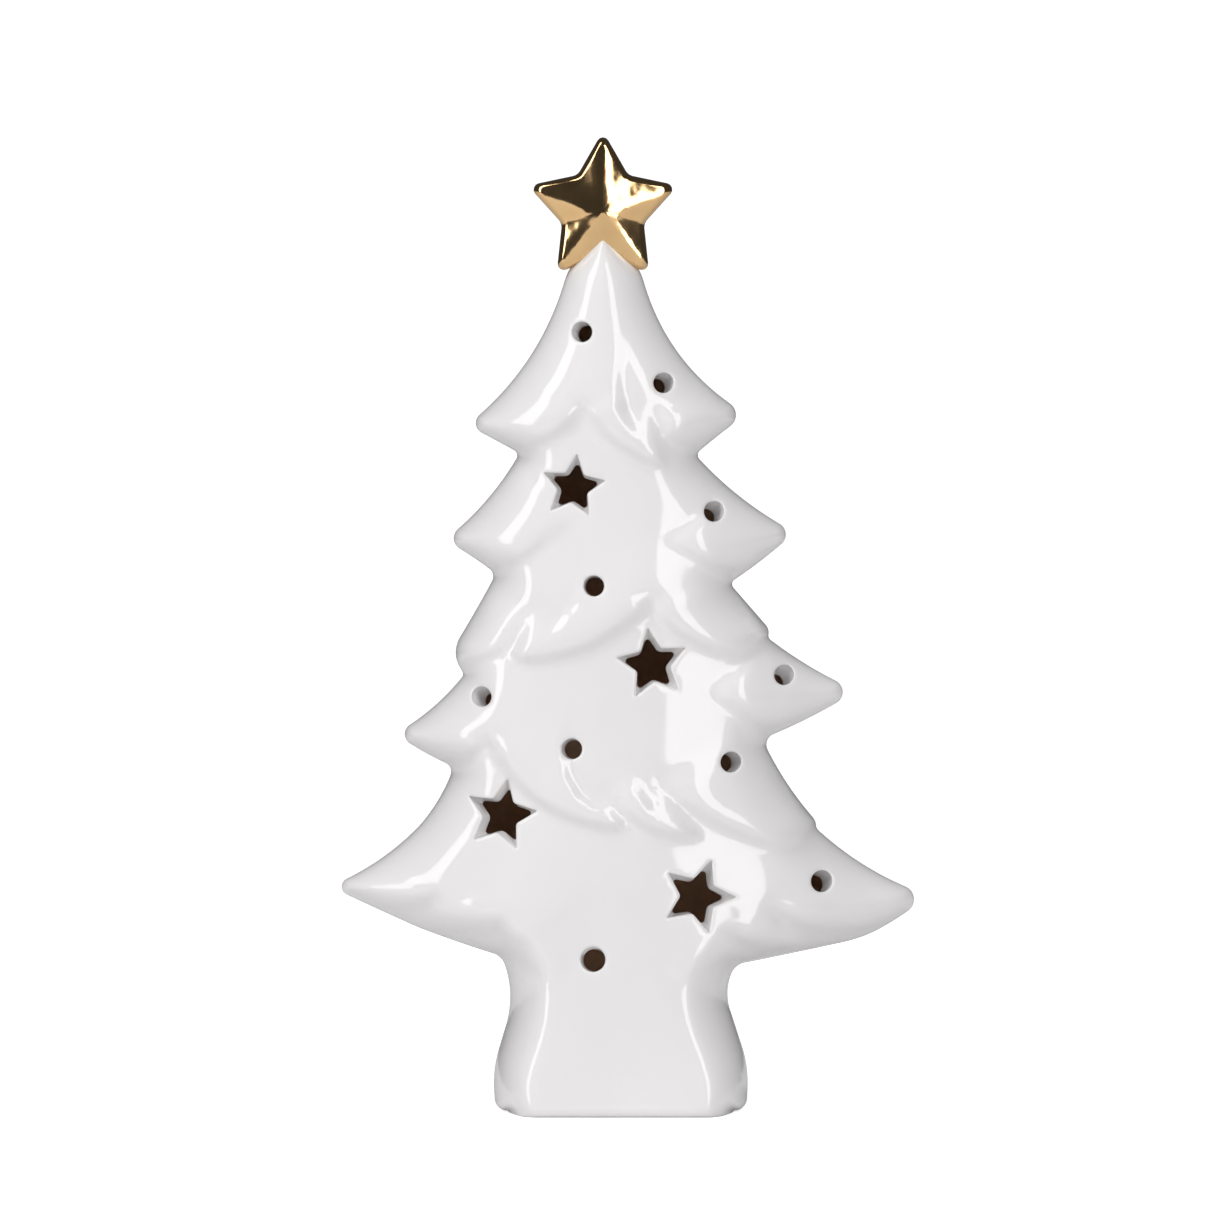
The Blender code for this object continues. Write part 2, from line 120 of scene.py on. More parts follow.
# ---------------------------------------------------------------------------------------
# The form of the casting: a face that leans back as it rises and falls away to both
# sides, rounded off to the mould line, with each tier swelling out to a scalloped lower
# lip that stands proud of the tier under it. The trunk is flat between tighter edges.
AXIS_X = (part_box("tealight_cup")[0].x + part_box("tealight_cup")[1].x) / 2.0 / MM
TIP_X, TREE_TOP = -6.0, 216.4
HALF_DEPTH_AT_FOOT, HALF_DEPTH_AT_TIP = 31.0, 10.5
SIDE_FALL, RIDGE_ROUND = 0.48, 34.0   # slope of the flanks, and how round the middle is
EDGE_ROUND, TRUNK_ROUND, TRUNK_TOP, EDGE_POWER = 13.0, 10.0, 42.0, 2.1
WALL, FLOOR, HOLLOW_TOP = 4.0, 5.0, 199.0
HEEL, HEEL_DRAW = 3.0, 0.10           # height of the heel's rounding, and its share of depth

# Lips of the tiers, each a run of smooth scallops parted by cusps: across, up, strength.
LIPS = [
    [[(-27.7, 160.8, 1), (-23.5, 163.0, 1), (-20.1, 164.9, 1), (-16.4, 166.9, 1),
      (-13.2, 169.4, 1), (-10.5, 172.8, 0.7)],
     [(-10.5, 172.8, 0.7), (-9.1, 170.6, 1), (-6.6, 167.6, 1), (-3.4, 164.5, 1),
      (1.0, 161.5, 1), (5.6, 159.3, 1), (9.6, 159.1, 1)],
     [(9.6, 159.1, 1), (9.1, 162.0, 1), (7.8, 166.4, 0.9), (6.6, 172.8, 0.2)],
     [(6.6, 172.8, 0.2), (8.8, 168.1, 0.9), (11.5, 164.9, 1), (14.5, 163.2, 1),
      (17.7, 161.5, 1)]],
    [[(-33.1, 132.1, 1), (-31.2, 133.3, 1), (-28.7, 134.5, 1), (-24.0, 137.2, 0.9),
      (-19.4, 140.7, 0.65), (-14.7, 144.3, 0.3), (-11.5, 148.0, 0)]],
    [[(10.1, 142.1, 0), (11.5, 139.7, 0.5), (15.5, 137.2, 0.9), (21.1, 133.8, 1),
      (25.8, 132.1, 1), (27.2, 129.4, 1)]],
    [[(-41.0, 108.5, 1), (-38.5, 110.2, 1), (-35.1, 111.5, 1), (-31.6, 113.2, 1),
      (-28.9, 115.9, 1), (-26.5, 119.3, 0.8), (-24.3, 123.0, 0.4)],
     [(-24.3, 123.0, 0.4), (-26.0, 118.1, 0.9), (-27.2, 114.7, 1), (-28.2, 112.0, 1)],
     [(-28.2, 112.0, 1), (-25.0, 111.0, 1), (-21.3, 111.0, 1), (-16.4, 112.0, 1),
      (-9.1, 114.2, 1), (-3.4, 117.4, 1), (2.2, 121.3, 1), (5.2, 123.7, 1),
      (6.1, 125.5, 0.8)],
     [(6.1, 125.5, 0.8), (7.6, 122.3, 1), (11.5, 118.1, 1), (17.2, 114.9, 1),
      (22.8, 112.9, 1), (28.5, 112.9, 1), (32.1, 114.7, 1), (35.1, 117.3, 1)]],
    [[(19.9, 104.8, 0), (21.8, 102.6, 0.5), (23.8, 100.9, 0.8), (26.7, 99.2, 1),
      (30.4, 96.0, 1), (33.6, 93.1, 1), (35.0, 90.5, 1)]],
    [[(-44.2, 83.7, 1), (-40.5, 86.4, 1), (-37.3, 88.2, 1), (-35.8, 90.1, 1),
      (-34.3, 92.1, 0.8)],
     [(-34.3, 92.1, 0.8), (-32.4, 88.2, 1), (-28.7, 82.5, 1), (-24.0, 78.1, 1),
      (-18.4, 74.4, 1), (-11.8, 71.7, 1), (-5.2, 70.3, 1), (0.0, 70.7, 1)],
     [(0.0, 70.7, 1), (-1.7, 73.7, 0.9), (-3.7, 76.9, 0.6), (-5.2, 79.6, 0.2)],
     [(-5.2, 79.6, 0.2), (-2.2, 75.9, 0.8), (1.2, 72.5, 1), (5.2, 69.8, 1),
      (11.5, 68.0, 1), (17.9, 68.0, 1)],
     [(17.9, 68.0, 1), (15.0, 72.2, 1), (11.5, 76.9, 0.7), (8.3, 81.8, 0.2)],
     [(8.3, 81.8, 0.2), (12.5, 77.4, 0.8), (17.2, 73.9, 1), (22.8, 70.5, 1),
      (28.5, 68.0, 1), (35.1, 65.8, 1), (41.7, 66.3, 1), (46.1, 68.8, 1),
      (47.8, 70.5, 1)]],
    [[(-69.2, 54.6, 1), (-67.2, 52.8, 1), (-60.6, 50.1, 1), (-54.2, 49.6, 1),
      (-50.8, 50.9, 1), (-47.6, 52.8, 0.8)],
     [(-47.6, 52.8, 0.8), (-48.8, 49.4, 1), (-49.8, 45.5, 1)],
     [(-49.8, 45.5, 1), (-44.6, 44.3, 1), (-37.3, 44.7, 1), (-33.6, 45.5, 1),
      (-31.4, 46.7, 0.9)],
     [(-31.4, 46.7, 0.9), (-30.7, 43.0, 1), (-28.9, 39.8, 0.9), (-25.8, 37.4, 0.7),
      (-22.6, 35.2, 0.4), (-18.9, 32.0, 0)]],
    [[(15.9, 30.8, 0), (18.2, 34.2, 0.4), (21.1, 36.4, 0.7), (25.5, 37.9, 0.9)],
     [(25.5, 37.9, 0.9), (26.0, 40.6, 0.9), (25.3, 44.0, 0.7)],
     [(25.3, 44.0, 0.7), (28.9, 41.6, 1), (35.1, 39.8, 1), (42.4, 41.1, 1)],
     [(42.4, 41.1, 1), (38.5, 45.5, 1), (36.6, 49.4, 0.8)],
     [(36.6, 49.4, 0.8), (43.7, 45.5, 1), (49.3, 44.5, 1), (58.6, 44.3, 1),
      (66.2, 46.7, 1), (70.4, 51.6, 1)]],
]
LIP_HEIGHT = 2.5
LIP_ROLL = 4.6              # how far above a lip its roll reaches its full height
LIP_FADE = 11.0             # how far above that the swelling of the tier dies away
LIP_STEP = 0.7              # how closely a lip's scallops are walked
CUSP_ROUND = 1.2            # reach of the ring that the relief is averaged over
CARVE_FADE = 4.0            # how far inside the mould line the relief is at full height
BACK_SHARE = 0.6            # the back of the mould is cut shallower


def scallop(points, step):
    """A smooth curve through points: each span is a cubic whose end slopes are half of
    the chord between the neighbours on its two sides, walked at about a step."""
    points = np.array(points, float)
    padded = np.concatenate([2 * points[:1] - points[1:2], points,
                             2 * points[-1:] - points[-2:-1]])
    spans = []
    for a, b, c, d in zip(padded[:-3], padded[1:-2], padded[2:-1], padded[3:]):
        t = np.linspace(0.0, 1.0, max(2, int(np.hypot(*(c - b)[:2]) / step) + 1))[:-1, None]
        spans.append(0.5 * (2 * b + (c - a) * t + (2 * a - 5 * b + 4 * c - d) * t ** 2
                            + (3 * b - a - 3 * c + d) * t ** 3))
    return np.concatenate(spans + [points[-1:]])


lip_lines = []
for lip in LIPS:
    runs = [scallop(run, LIP_STEP) for run in lip]
    lip_lines.append(np.concatenate([run[:-1] for run in runs[:-1]] + [runs[-1]]))


def signed_reach(spots, line):
    """Distance from spots to a line, plus on its left side and minus on its right, and the
    line's strength there. The nearest corner is found first, then the nearest place on
    the two edges that meet in it; at a corner the side is that of both edges' normals."""
    gap = ((spots[:, None, :] - line[None, :, :2]) ** 2).sum(axis=2)
    nearest = gap.argmin(axis=1)
    edge = np.diff(line[:, :2], axis=0)
    length = np.hypot(edge[:, 0], edge[:, 1])
    normal = np.column_stack([-edge[:, 1], edge[:, 0]]) / length[:, None]
    before = np.clip(nearest - 1, 0, len(edge) - 1)
    after = np.clip(nearest, 0, len(edge) - 1)
    best, side, strength = None, None, None
    for which in (before, after):
        share = ((spots - line[which, :2]) * edge[which]).sum(axis=1) / length[which] ** 2
        held = np.clip(share, 0.0, 1.0)
        away = spots - line[which, :2] - edge[which] * held[:, None]
        distance = np.hypot(away[:, 0], away[:, 1])
        inside = (share > 0.0) & (share < 1.0)
        facing = np.where(inside[:, None], normal[which], normal[before] + normal[after])
        sign = np.where((away * facing).sum(axis=1) < 0.0, -1.0, 1.0)
        power = line[which, 2] + (line[which + 1, 2] - line[which, 2]) * held
        if best is None:
            best, side, strength = distance, sign, power
        else:
            nearer = distance < best
            best = np.where(nearer, distance, best)
            side = np.where(nearer, sign, side)
            strength = np.where(nearer, power, strength)
    return best * side, strength


def lip_profile(reach):
    """Height of a tier over the reach above its lip: nothing below it, then a quarter of an
    ellipse up to full height at LIP_ROLL, then a bell that dies away upwards."""
    roll = np.sqrt(np.clip(1.0 - (1.0 - np.clip(reach / LIP_ROLL, 0.0, 1.0)) ** 2, 0.0, 1.0))
    fade = np.exp(-(np.maximum(reach - LIP_ROLL, 0.0) / LIP_FADE) ** 1.5)
    return np.where(reach > 0.0, roll * fade, 0.0)


def relief(spots):
    """The tiers' lips over the plain form: the sum of every lip's profile times its
    strength, averaged over a small ring of places to soften the cusps."""
    angles = np.radians(np.arange(0.0, 360.0, 60.0))
    ring = [(0.0, 0.0)] + [(CUSP_ROUND * math.cos(a), CUSP_ROUND * math.sin(a)) for a in angles]
    total = np.zeros(len(spots))
    for shift in ring:
        for line in lip_lines:
            reach, strength = signed_reach(spots + shift, line)
            total += lip_profile(reach) * strength
    return LIP_HEIGHT * total / len(ring)


def rim_distance(spots):
    """Nearest distance to the mould line, and the same smoothed away from it: the
    fifth-power mean of the distances to all its points, so branches have no ridge. Worked
    out a few thousand spots at a time."""
    steps = np.hypot(np.diff(rim[:, 0]), np.diff(rim[:, 1]))
    steps = np.append(steps, OUTLINE_STEP)
    steps[len(left_side) - 1] = OUTLINE_STEP
    near, smooth = [], []
    for part in np.array_split(spots, len(spots) // 3000 + 1):
        square = np.maximum(((part[:, None, :] - rim[None]) ** 2).sum(axis=2), 1e-9)
        near.append(np.sqrt(square.min(axis=1)))
        mean = ((steps / np.maximum(square, 1e-3) ** 2.5).sum(axis=1) * 0.75) ** -0.25
        share = np.clip((near[-1] - 1.0) / 2.0, 0.0, 1.0)
        smooth.append(near[-1] + share * (mean - near[-1]))
    return np.concatenate(near), np.concatenate(smooth)


def plain_depth(spots, wall=0.0):
    """Half depth without the lips: a face that leans back and whose flanks fall away from
    a rounded middle, times a rounding that dies out on the mould line. A wall gives the
    hollow's."""
    x, z = spots[:, 0], spots[:, 1]
    lean = HALF_DEPTH_AT_FOOT + (HALF_DEPTH_AT_TIP - HALF_DEPTH_AT_FOOT) * z / TREE_TOP
    trunk = np.clip((TRUNK_TOP - z) / (TRUNK_TOP - HEEL), 0.0, 1.0)
    aside = x - AXIS_X - (TIP_X - AXIS_X) * z / TREE_TOP
    fall = SIDE_FALL * (np.hypot(aside, RIDGE_ROUND) - RIDGE_ROUND) * (1.0 - trunk)
    reach = EDGE_ROUND + (TRUNK_ROUND - EDGE_ROUND) * trunk
    inward = np.clip((rim_distance(spots)[1] - wall) / reach, 0.0, 1.0)
    return (lean - fall - wall) * (1.0 - (1.0 - inward) ** EDGE_POWER) ** (1.0 / EDGE_POWER)


def outer_depth(spots, share):
    """Half depth of the outside: the plain form drawn in at the heel by a quarter round,
    plus a share of the relief, which dies out over the last millimetres to the rim."""
    up = np.clip(spots[:, 1] / HEEL, 0.0, 1.0)
    heel = 1.0 - HEEL_DRAW * (1.0 - np.sqrt(1.0 - (1.0 - up) ** 2))
    carve = np.clip(rim_distance(spots)[0] / CARVE_FADE, 0.0, 1.0)
    carve = (1.0 - (1.0 - carve) ** EDGE_POWER) ** (1.0 / EDGE_POWER)
    return plain_depth(spots) * heel + share * relief(spots) * carve


# ---------------------------------------------------------------------------------------
# Windows and light holes. They are cut through the leather-hard wall square to it, stars
# with a cutter and rounds with a drill, and the glaze rounds their mouths.
# Stars: across, up, reach of a point, clockwise turn. Rounds: across, up, radius.
STARS = [(-13.2, 153.9, 8.0, 7.0), (6.3, 110.6, 8.9, -8.0),
         (-30.9, 73.6, 9.0, 11.0), (17.5, 53.9, 9.3, 20.0)]
ROUNDS = [(-11.0, 191.7, 2.45), (8.9, 179.2, 2.45), (21.3, 147.7, 2.45), (-8.1, 129.7, 2.5),
          (-35.6, 102.4, 2.4), (38.5, 107.5, 2.4), (-13.5, 89.9, 2.5), (25.4, 86.5, 2.5),
          (47.7, 57.0, 2.6), (-8.3, 38.6, 3.0)]
STAR_WAIST = 0.47
MOUTH = 0.80                # radius of the glaze over an edge
MOUTH_STEPS = np.array([0.0, 0.05, 0.18, 0.42, MOUTH])
STAR_TAPER, ROUND_TAPER = 0.80, 0.90  # size of a hole in the hollow to its mouth's
LEAN_SHARE = 0.9            # how nearly square to the wall a hole is cut
DOOR_HALF, DOOR_TOP, DOOR_CORNER = 21.6, 28.0, 9.0
JAMB_TAPER, LINTEL_TAPER = 0.9, 0.6
SILL_POINTS = 33


def star_loop(reach, waist, turn, tip, notch):
    """A five-pointed star round the origin, with its points and notches rounded over the
    given reaches; every star has the same count of points, so two can be joined."""
    angles = np.radians(90.0 - turn - 36.0 * np.arange(10))
    radii = np.where(np.arange(10) % 2, waist, reach)
    corners = np.column_stack([radii * np.cos(angles), radii * np.sin(angles)])
    loop = []
    for number in range(10):
        here, there = corners[number], corners[(number + 1) % 10]
        trims = (tip, notch) if number % 2 == 0 else (notch, tip)
        along = (there - here) / np.hypot(*(there - here))
        leave, rejoin = here + along * trims[0], there - along * trims[1]
        loop.append(leave + (rejoin - leave) * np.linspace(0.0, 1.0, 8)[:, None])
        following = corners[(number + 2) % 10] - there
        onward = there + following / np.hypot(*following) * trims[1]
        loop.append(round_corner(rejoin, there, onward, 3))
    return np.concatenate(loop)[::-1]


def round_loop(radius):
    """A circle round the origin, anticlockwise."""
    angles = np.linspace(0.0, 2.0 * math.pi, 29)[:-1]
    return radius * np.column_stack([np.cos(angles), np.sin(angles)])


def loop_normals(loop):
    """Unit directions out of an anticlockwise closed loop, from each point's neighbours."""
    tangent = np.roll(loop, -1, axis=0) - np.roll(loop, 1, axis=0)
    normal = np.column_stack([tangent[:, 1], -tangent[:, 0]])
    return normal / np.hypot(normal[:, 0], normal[:, 1])[:, None]


def wall_lean(centre):
    """How far the inner end of a hole square to the wall lies from its mouth, across and
    up: minus the slope of the form times the wall."""
    step = 2.0
    spots = np.array(centre) + np.array([(step, 0), (-step, 0), (0, step), (0, -step)])
    depth = plain_depth(spots)
    slope = np.array([depth[0] - depth[1], depth[2] - depth[3]]) / (2.0 * step)
    return slope * WALL


openings = []
for x, z, reach, turn in STARS:
    mouth = star_loop(reach, STAR_WAIST * reach, turn, 0.45, 0.7)
    inner = star_loop(STAR_TAPER * reach, 0.5 * STAR_TAPER * reach, turn, 1.4, 0.9)
    openings.append((np.array([x, z]), mouth, inner))
for x, z, radius in ROUNDS:
    openings.append((np.array([x, z]), round_loop(radius), round_loop(ROUND_TAPER * radius)))
mouths, inner_ends = [], []
for centre, mouth, inner in openings:
    mouths.append(centre + mouth)
    inner_ends.append(centre + LEAN_SHARE * wall_lean(centre) + inner)


def door_arch(half, top, corner, low):
    """The rear opening: up one side, over the top with rounded corners and down the other,
    as an open line from its lower right to its lower left corner."""
    turn = np.radians(np.linspace(0.0, 90.0, 11))
    side = np.linspace(low, top - corner, 16)[:-1]
    right = np.column_stack([np.full(side.size, half), side])
    bend = np.column_stack([half - corner + corner * np.cos(turn),
                            top - corner + corner * np.sin(turn)])
    lintel = np.linspace(half - corner, corner - half, 26)[1:-1]
    lintel = np.column_stack([lintel, np.full(lintel.size, top)])
    half_arch = np.concatenate([right, bend])
    arch = np.concatenate([half_arch, lintel, half_arch[::-1] * (-1.0, 1.0)])
    return arch + (AXIS_X, 0.0)


sill_share = np.linspace(-1.0, 1.0, SILL_POINTS)
door_outer = door_arch(DOOR_HALF, DOOR_TOP, DOOR_CORNER, FLOOR)
door_inner = door_arch(DOOR_HALF - JAMB_TAPER, DOOR_TOP - LINTEL_TAPER, DOOR_CORNER, FLOOR)
sill_outer, sill_inner = [np.column_stack([AXIS_X + sill_share * half, np.full(SILL_POINTS, FLOOR)])
                          for half in (DOOR_HALF, DOOR_HALF - JAMB_TAPER)]
door_loop = np.concatenate([door_outer, sill_outer[1:-1]])


# ---------------------------------------------------------------------------------------
# The tree's skin is worked out as a depth over spots in the front plane: rows that follow
# the mould line, the lips and the mouths, and an even field between them, joined into
# triangles. Each sheet, tube and strip is then placed by its depth and welded to the rest.
FIELD_STEP, HOLLOW_STEP = 1.12, 2.2
FIELD_LOW, FIELD_HIGH = (-76.0, 0.6), (78.0, 218.0)


def in_loop(spots, loop):
    """True for spots inside a closed loop: a level ray crosses it an odd number of times."""
    x1, z1 = loop[:, 0], loop[:, 1]
    x2, z2 = np.roll(x1, -1), np.roll(z1, -1)
    x, z = spots[:, :1], spots[:, 1:]
    spans = (z1 > z) != (z2 > z)
    rise = np.where(z2 == z1, 1e-12, z2 - z1)
    return ((spans & (x < (x2 - x1) * (z - z1) / rise + x1)).sum(axis=1) % 2) == 1


def keep_apart(kept, extra, spacing):
    """The extra spots that stand about a spacing or more from every kept one: kept spots
    are marked on a raster of that spacing and its neighbours, and marked cells are barred."""
    cell = spacing / 1.5
    origin = np.array([-90.0, -10.0])
    marked = np.zeros((int(180.0 / cell) + 8, int(250.0 / cell) + 8), bool)
    place = ((kept - origin) / cell).astype(int) + 2
    for dx in (-1, 0, 1):
        for dz in (-1, 0, 1):
            marked[place[:, 0] + dx, place[:, 1] + dz] = True
    where = ((extra - origin) / cell).astype(int) + 2
    return extra[~marked[where[:, 0], where[:, 1]]]


def even_field(low, high, step):
    """Spots on a grid of equal triangles between two corners."""
    xs = np.arange(low[0], high[0], step)
    zs = np.arange(low[1], high[1], step * math.sqrt(0.75))
    x, z = np.meshgrid(xs, zs)
    x = x + (np.arange(zs.size) % 2)[:, None] * step / 2.0
    return np.column_stack([x.ravel(), z.ravel()])


def join_spots(spots, ring_sizes, bounds, holes):
    """Triangles over spots that keep the rings that the spots start with as edges, without
    those outside the bounds or in a hole. Each is a row of three numbers of spots."""
    edges, start = [], 0
    for size in ring_sizes:
        edges += [(start + n, start + (n + 1) % size) for n in range(size)]
        start += size
    points, _, faces, origin, _, _ = geometry.delaunay_2d_cdt(
        [Vector(spot) for spot in spots.tolist()], edges, [], 0, 1e-7)
    back = np.array([first[0] for first in origin])
    triangles = back[np.array(faces)]
    middle = spots[triangles].mean(axis=1)
    keep = in_loop(middle, bounds)
    for hole in holes:
        keep &= ~in_loop(middle, hole)
    a, b, c = spots[triangles[:, 0]], spots[triangles[:, 1]], spots[triangles[:, 2]]
    area = (b[:, 0] - a[:, 0]) * (c[:, 1] - a[:, 1]) - (b[:, 1] - a[:, 1]) * (c[:, 0] - a[:, 0])
    triangles = np.where((area < 0.0)[:, None], triangles[:, ::-1], triangles)
    return triangles[keep & (np.abs(area) > 1e-6)]


inward = -loop_normals(outline)
rim_rows = [outline + inward * step for step in (0.03, 0.12, 0.28, 0.5, 0.8, 1.25)]
inner_rows = [outline + inward * step for step in (1.8, 2.5, 3.3, 4.2)]


def skin_spots(loops):
    """All spots of one outer sheet: the outline, the mouths, then rows along the rim,
    round the mouths and along the lips, and the even field, each kept apart from the ones
    before it."""
    rings = np.concatenate([outline] + loops)
    around = [loop + loop_normals(loop) * step for loop in loops for step in MOUTH_STEPS[1:]]
    spots = np.concatenate([rings] + rim_rows + around)
    beyond = np.concatenate([loop + loop_normals(loop) * 1.2 for loop in loops])
    extra = [beyond[::2]] + inner_rows
    for step in (0.35, 0.0, 0.9, -0.5, 1.6, 2.5, 3.5, -1.3):
        for line in lip_lines:
            along = np.gradient(line[:, :2], axis=0)
            along /= np.hypot(along[:, 0], along[:, 1])[:, None]
            row = line[:, :2] + step * np.column_stack([-along[:, 1], along[:, 0]])
            true = signed_reach(row, line)[0]
            extra.append(row[np.abs(true - step) < 0.25])
    extra.append(even_field(FIELD_LOW, FIELD_HIGH, FIELD_STEP))
    for number, row in enumerate(extra):
        inside = in_loop(row, outline) & (rim_distance(row)[0] > 1.5) & (row[:, 1] > 1.5)
        for loop in loops:
            inside &= ~in_loop(row, loop + loop_normals(loop) * 0.8)
        spacing = 0.42 if number < 40 else 0.62
        spots = np.concatenate([spots, keep_apart(spots, row[inside], spacing)])
    return spots


def mouth_drop(spots, loops):
    """How far the glaze falls back round the mouths: a quarter round over the last of the
    wall before each mouth."""
    drop = np.zeros(len(spots))
    for loop in loops:
        centre = loop.mean(axis=0)
        close = np.abs(spots - centre).max(axis=1) < np.abs(loop - centre).max() + 1.0
        ring = np.concatenate([loop, loop[:1]])
        ring = np.column_stack([ring, np.ones(len(ring))])
        reach = np.abs(signed_reach(spots[close], ring)[0])
        part = np.clip(reach / MOUTH, 0.0, 1.0)
        drop[close] = np.maximum(drop[close], MOUTH * (1.0 - np.sqrt(1.0 - (1.0 - part) ** 2)))
    return drop


places, corners, kinds = [], [], []


def add_sheet(points, faces, kind):
    """Puts one sheet's points and its faces, which count within it, into the tree."""
    offset = sum(len(block) for block in places)
    places.append(points)
    corners.append(np.asarray(faces) + offset)
    kinds.append(np.full(len(faces), kind))


def strip(first, second, kind, closed):
    """Two triangles for each step between two rows of the same count, whose faces look to
    the left of the walk along the first with the second above it."""
    count = len(first)
    here = np.arange(count if closed else count - 1)
    there = (here + 1) % count
    faces = np.concatenate([np.column_stack([here, there, count + there]),
                            np.column_stack([here, count + there, count + here])])
    add_sheet(np.concatenate([first, second]), faces, kind)


def placed(spots, depth):
    """Points across, deep and up, from spots and their depth."""
    return np.column_stack([spots[:, 0], depth, spots[:, 1]])


GLAZED, BARE = 0, 1
on_rim = np.zeros(len(outline), bool)
on_rim[:len(left_side)] = True
on_rim[len(left_side) + len(foot_line):] = True

# Front and back skins. They share the mould line, where the depth is nothing.
skins = {}
for name, side, loops, share in (("front", -1.0, mouths, 1.0),
                                 ("back", 1.0, [door_loop], BACK_SHARE)):
    spots = skin_spots(loops)
    depth = outer_depth(spots, share) - mouth_drop(spots, loops)
    depth[:len(outline)][on_rim] = 0.0
    faces = join_spots(spots, [len(outline)] + [len(loop) for loop in loops], outline, loops)
    faces = faces if side < 0.0 else faces[:, ::-1]
    add_sheet(placed(spots, side * depth), faces, GLAZED)
    skins[name] = (spots, side * depth)

# The underside: the ring that it stands on is wiped bare, and the middle is drawn up a
# little so that it does not rock.
foot = slice(len(left_side) - 1, len(left_side) + len(foot_line) + 1)
foot_front, foot_back = [placed(*skins[name])[foot] for name in ("front", "back")]
foot_ring = np.concatenate([foot_front, foot_back[-2:0:-1]])
foot_centre = np.array([AXIS_X, 0.0, 0.0])
previous = foot_ring
for inset, rise in ((0.985, 0.0), (0.90, 0.0), (0.885, 0.12), (0.86, 0.5), (0.82, 0.8),
                    (0.5, 1.0), (0.2, 1.05), (0.0, 1.05)):
    following = foot_centre + (foot_ring - foot_centre) * (inset, inset, 1.0) + (0.0, 0.0, rise)
    strip(following, previous, BARE, True)
    previous = following

# The hollow's own sheets, coarser because they are only seen through the openings.
levels = np.linspace(FLOOR, HOLLOW_TOP, 120)
across = np.linspace(0.0, 1.0, 220)
rising = [side[np.argsort(-side[:, 1], kind="stable")][::-1] for side in (left_side, right_side)]
hollow_left, hollow_right = [], []
for level in levels:
    ends = [np.interp(level, side[:, 1], side[:, 0]) for side in rising]
    xs = ends[0] + (ends[1] - ends[0]) * across
    deep = rim_distance(np.column_stack([xs, np.full(xs.size, level)]))[1] > WALL
    middle = np.searchsorted(xs, -4.0)
    hollow_left.append(xs[np.nonzero(~deep[:middle])[0][-1] + 1])
    hollow_right.append(xs[middle + np.nonzero(~deep[middle:])[0][0] - 1])
hollow_left, hollow_right = np.array(hollow_left), np.array(hollow_right)
floor_x = np.concatenate([np.linspace(hollow_left[0], sill_inner[0, 0], 5)[:-1], sill_inner[:, 0],
                          np.linspace(sill_inner[-1, 0], hollow_right[0], 5)[1:]])
floor_line = np.column_stack([floor_x, np.full(floor_x.size, FLOOR)])
roof_x = np.linspace(hollow_right[-1], hollow_left[-1], 9)
roof_line = np.column_stack([roof_x, np.full(9, HOLLOW_TOP)])
left_wall = np.column_stack([hollow_left, levels])[::-1]
right_wall = np.column_stack([hollow_right, levels])
hollow_ring = np.concatenate([left_wall[:-1], floor_line, right_wall[1:-1], roof_line[:-1]])
door_start = len(left_wall) - 1 + 4
back_ring = np.concatenate([hollow_ring[:door_start], door_inner[::-1],
                            hollow_ring[door_start + SILL_POINTS:]])
for side, ring, loops in ((1.0, hollow_ring, inner_ends), (-1.0, back_ring, [])):
    rings = np.concatenate([ring] + loops)
    field = even_field((FIELD_LOW[0], 5.8), (FIELD_HIGH[0], 198.5), HOLLOW_STEP)
    field = field[in_loop(field, ring) & (rim_distance(field)[1] > WALL + 0.8)]
    for loop in loops:
        field = field[~in_loop(field, loop + loop_normals(loop) * 0.7)]
    spots = np.concatenate([rings, keep_apart(rings, field, 1.0)])
    depth = plain_depth(spots, WALL)
    wall_x = np.round(np.concatenate([hollow_left, hollow_right]), 6)
    seam = np.isin(np.round(spots[:, 0], 6), wall_x) & (np.arange(len(spots)) < len(ring))
    depth[seam] = 0.0
    faces = join_spots(spots, [len(ring)] + [len(loop) for loop in loops], ring, loops)
    faces = faces[~seam[faces].all(axis=1)]
    add_sheet(placed(spots, -side * depth), faces[:, ::-1] if side > 0.0 else faces, BARE)
    skins["hollow front" if side > 0.0 else "hollow back"] = (spots, -side * depth)

# Floor and roof of the hollow, from its front sheet to its back one.
for line in (floor_line, roof_line):
    depth = plain_depth(line, WALL)
    depth[[0, -1]] = 0.0
    strip(placed(line, -depth), placed(line, depth), BARE, False)

# Walls of the windows and light holes, from each mouth to its end in the hollow.
front_depth = skins["front"][1]
hollow_depth = skins["hollow front"][1]
start, inner_start = len(outline), len(hollow_ring)
for mouth, inner in zip(mouths, inner_ends):
    count = len(mouth)
    near_end = placed(mouth, front_depth[start:start + count])
    far_end = placed(inner, hollow_depth[inner_start:inner_start + count])
    rows = [near_end + (far_end - near_end) * share for share in (0.0, 0.1, 0.35, 0.65, 0.9, 1.0)]
    for first, second in zip(rows[:-1], rows[1:]):
        strip(first, second, GLAZED, True)
    start, inner_start = start + count, inner_start + count

# Jambs, lintel and sill of the rear opening.
back_depth = skins["back"][1]
door_count = len(door_outer)
outer_arch = placed(door_outer, back_depth[len(outline):len(outline) + door_count])
inner_arch = placed(door_inner, plain_depth(door_inner, WALL))
sill_ring = back_depth[len(outline) + door_count:len(outline) + door_count + SILL_POINTS - 2]
sill_ring = np.concatenate([[outer_arch[-1, 1]], sill_ring, [outer_arch[0, 1]]])
sill_edge = placed(sill_outer, sill_ring)
sill_back = placed(sill_inner, plain_depth(sill_inner, WALL))
for near_end, far_end in ((outer_arch, inner_arch), (sill_edge, sill_back)):
    rows = [near_end + (far_end - near_end) * share for share in (0.0, 0.15, 0.5, 0.85, 1.0)]
    for first, second in zip(rows[:-1], rows[1:]):
        strip(second, first, GLAZED, False)


